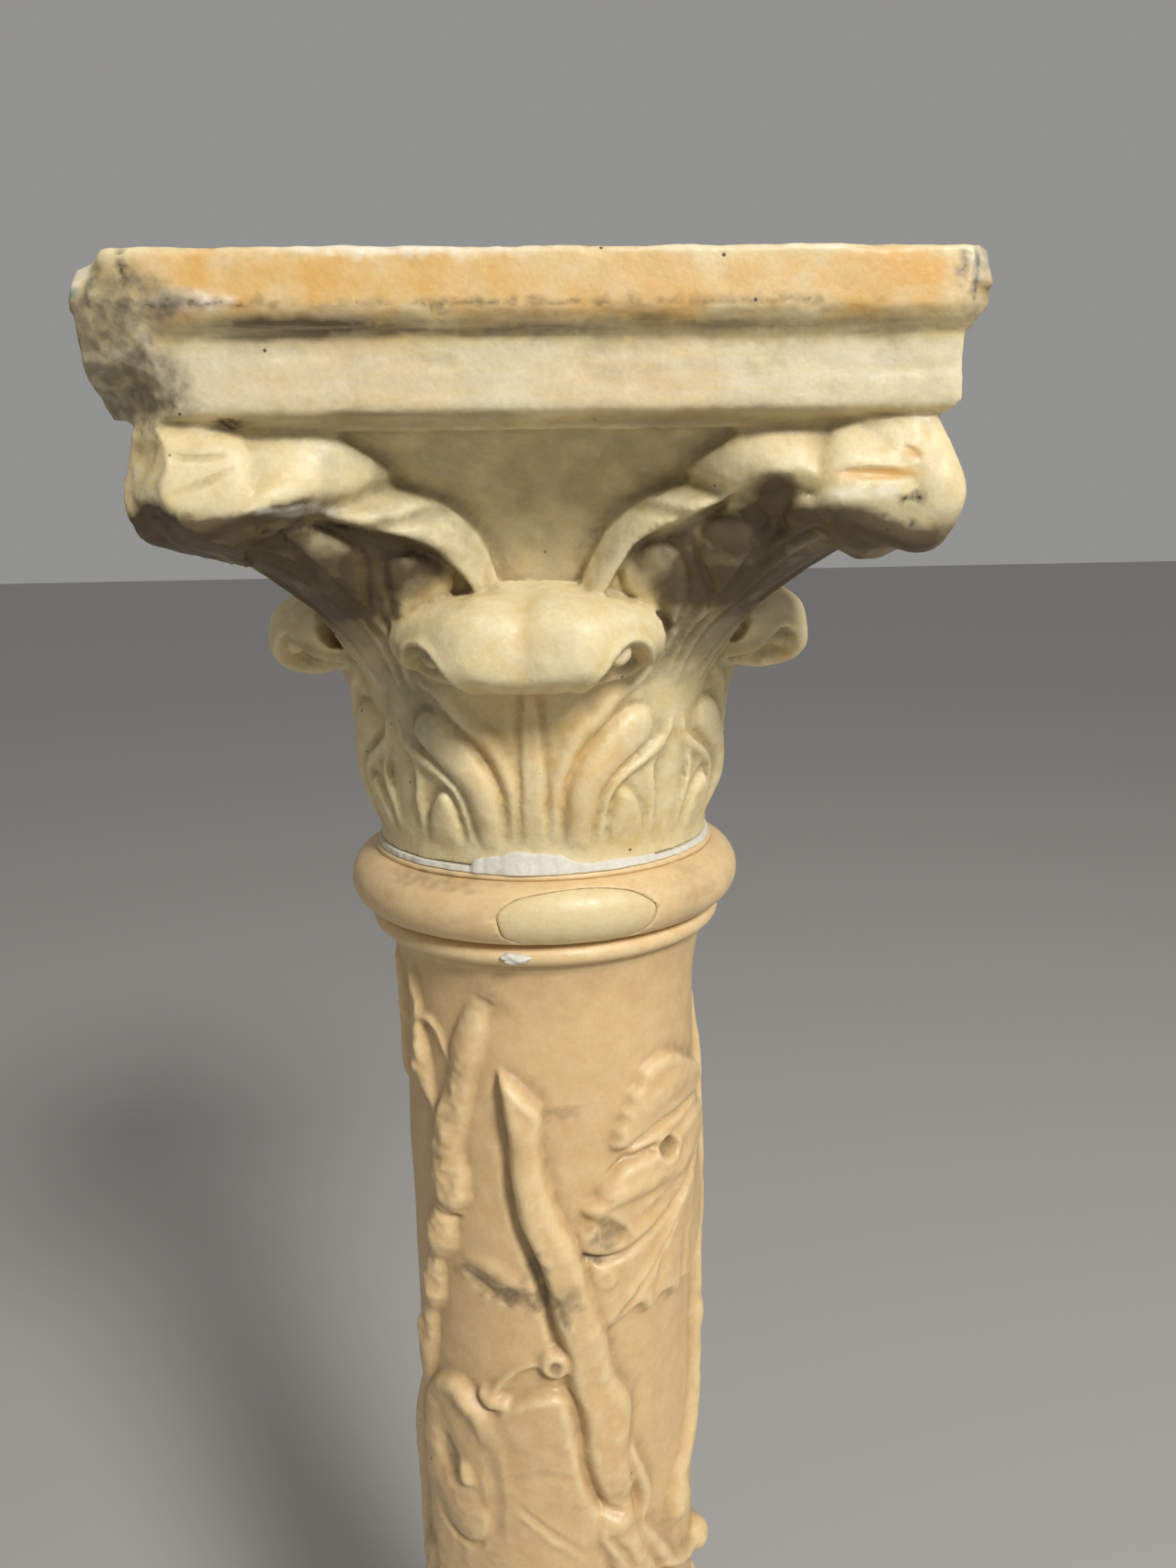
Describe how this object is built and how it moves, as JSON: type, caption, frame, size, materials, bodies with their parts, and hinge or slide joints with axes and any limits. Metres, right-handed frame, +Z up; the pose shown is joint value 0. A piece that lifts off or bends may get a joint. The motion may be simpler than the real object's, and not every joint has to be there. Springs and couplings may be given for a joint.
{
  "type": "carved marble column",
  "caption": "Carved marble column: a leafy square capital on a round shaft wrapped in a low relief vine, with a plain moulded base.",
  "frame": {"origin": "centre of the base's underside, where the column stands", "axes": "+Z up along the shaft, and the side with the patched ring faces -Y"},
  "size_m": [0.3, 0.3, 1.06],
  "materials": {
    "cream_marble": "worn and stained carved marble",
    "tan_marble": "rubbed carved marble",
    "patch_marble": "inlaid marble repair",
    "base_marble": "rubbed turned marble",
    "plaster": "white gypsum plaster"
  },
  "bodies": {
    "root": {"capital": "cream_marble", "joint_plaster": "plaster", "shaft": "tan_marble", "ring_patch": "patch_marble", "fillet_plaster_dab": "plaster", "base": "base_marble"}
  },
  "joints": []
}
